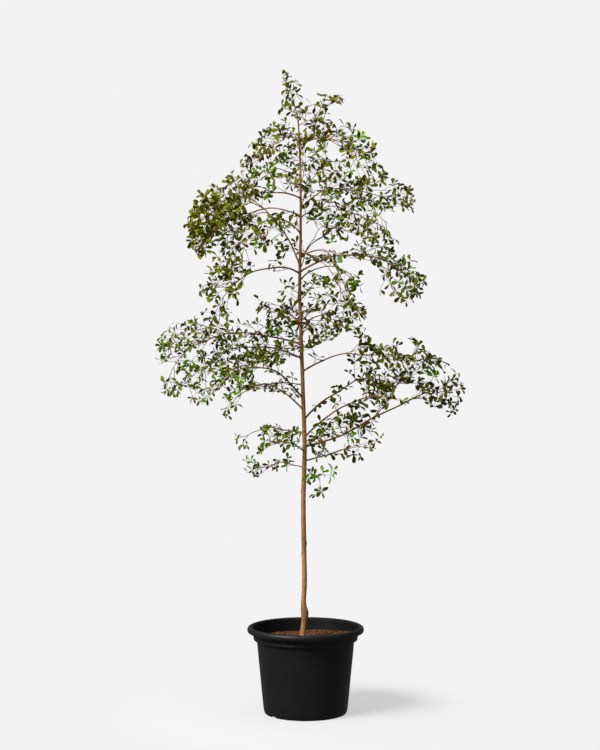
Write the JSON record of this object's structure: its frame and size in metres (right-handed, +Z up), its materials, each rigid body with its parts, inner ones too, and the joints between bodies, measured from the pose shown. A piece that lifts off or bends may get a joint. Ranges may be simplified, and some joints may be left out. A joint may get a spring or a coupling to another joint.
{
  "type": "potted black olive tree",
  "caption": "Young tree in a black nursery pot: slender trunk, tiered arching boughs and open masses of small leaves; a tall standing garden plant.",
  "frame": {"origin": "centre of the pot's flat underside, on the floor", "axes": "+Z up along the pot's axis; -Y is the front, as the picture shows the tree; +X is to the right"},
  "size_m": [1.1519, 0.9568, 2.3801],
  "materials": {
    "pot_plastic": "black moulded plastic with a dull sheen",
    "soil_mix": "loose reddish brown coir and bark mix",
    "trunk_bark": "tan bark with fine cracks, small knots and rings",
    "bough_bark": "thin reddish brown bark",
    "leaf_foliage": "small leathery dark olive green leaves on fine brown twigs"
  },
  "bodies": {
    "root": {"bough_back_mid": "bough_bark", "bough_front_mid": "bough_bark", "bough_left_bottom_a": "bough_bark", "bough_left_high_a": "bough_bark", "bough_left_high_b": "bough_bark", "bough_left_low_a": "bough_bark", "bough_left_low_b": "bough_bark", "bough_left_low_c": "bough_bark", "bough_left_low_d": "bough_bark", "bough_left_mid": "bough_bark", "bough_left_steep": "bough_bark", "bough_right_bottom": "bough_bark", "bough_right_high_a": "bough_bark", "bough_right_high_b": "bough_bark", "bough_right_low_a": "bough_bark", "bough_right_low_b": "bough_bark", "bough_right_low_c": "bough_bark", "bough_right_low_d": "bough_bark", "bough_right_mid_a": "bough_bark", "bough_right_mid_b": "bough_bark", "bough_upper_left_a": "bough_bark", "bough_upper_right_a": "bough_bark", "foliage_back_high": "leaf_foliage", "foliage_back_low": "leaf_foliage", "foliage_back_mid": "leaf_foliage", "foliage_front_high": "leaf_foliage", "foliage_front_mid": "leaf_foliage", "foliage_leader": "leaf_foliage", "foliage_left_back": "leaf_foliage", "foliage_left_bottom_a": "leaf_foliage", "foliage_left_bottom_b": "leaf_foliage", "foliage_left_bottom_c": "leaf_foliage", "foliage_left_high_a": "leaf_foliage", "foliage_left_high_b": "leaf_foliage", "foliage_left_inner": "leaf_foliage", "foliage_left_low_a": "leaf_foliage", "foliage_left_low_b": "leaf_foliage", "foliage_left_low_c": "leaf_foliage", "foliage_left_low_d": "leaf_foliage", "foliage_left_low_e": "leaf_foliage", "foliage_left_mid": "leaf_foliage", "foliage_left_steep": "leaf_foliage", "foliage_right_bottom": "leaf_foliage", "foliage_right_drop": "leaf_foliage", "foliage_right_high_a": "leaf_foliage", "foliage_right_high_b": "leaf_foliage", "foliage_right_low_a": "leaf_foliage", "foliage_right_low_b": "leaf_foliage", "foliage_right_low_c": "leaf_foliage", "foliage_right_low_d": "leaf_foliage", "foliage_right_mid_a": "leaf_foliage", "foliage_right_mid_b": "leaf_foliage", "foliage_top_right": "leaf_foliage", "foliage_upper_left_a": "leaf_foliage", "foliage_upper_left_b": "leaf_foliage", "foliage_upper_right_a": "leaf_foliage", "foliage_upper_right_b": "leaf_foliage", "pot": "pot_plastic", "soil": "soil_mix", "trunk": "trunk_bark"}
  },
  "joints": []
}
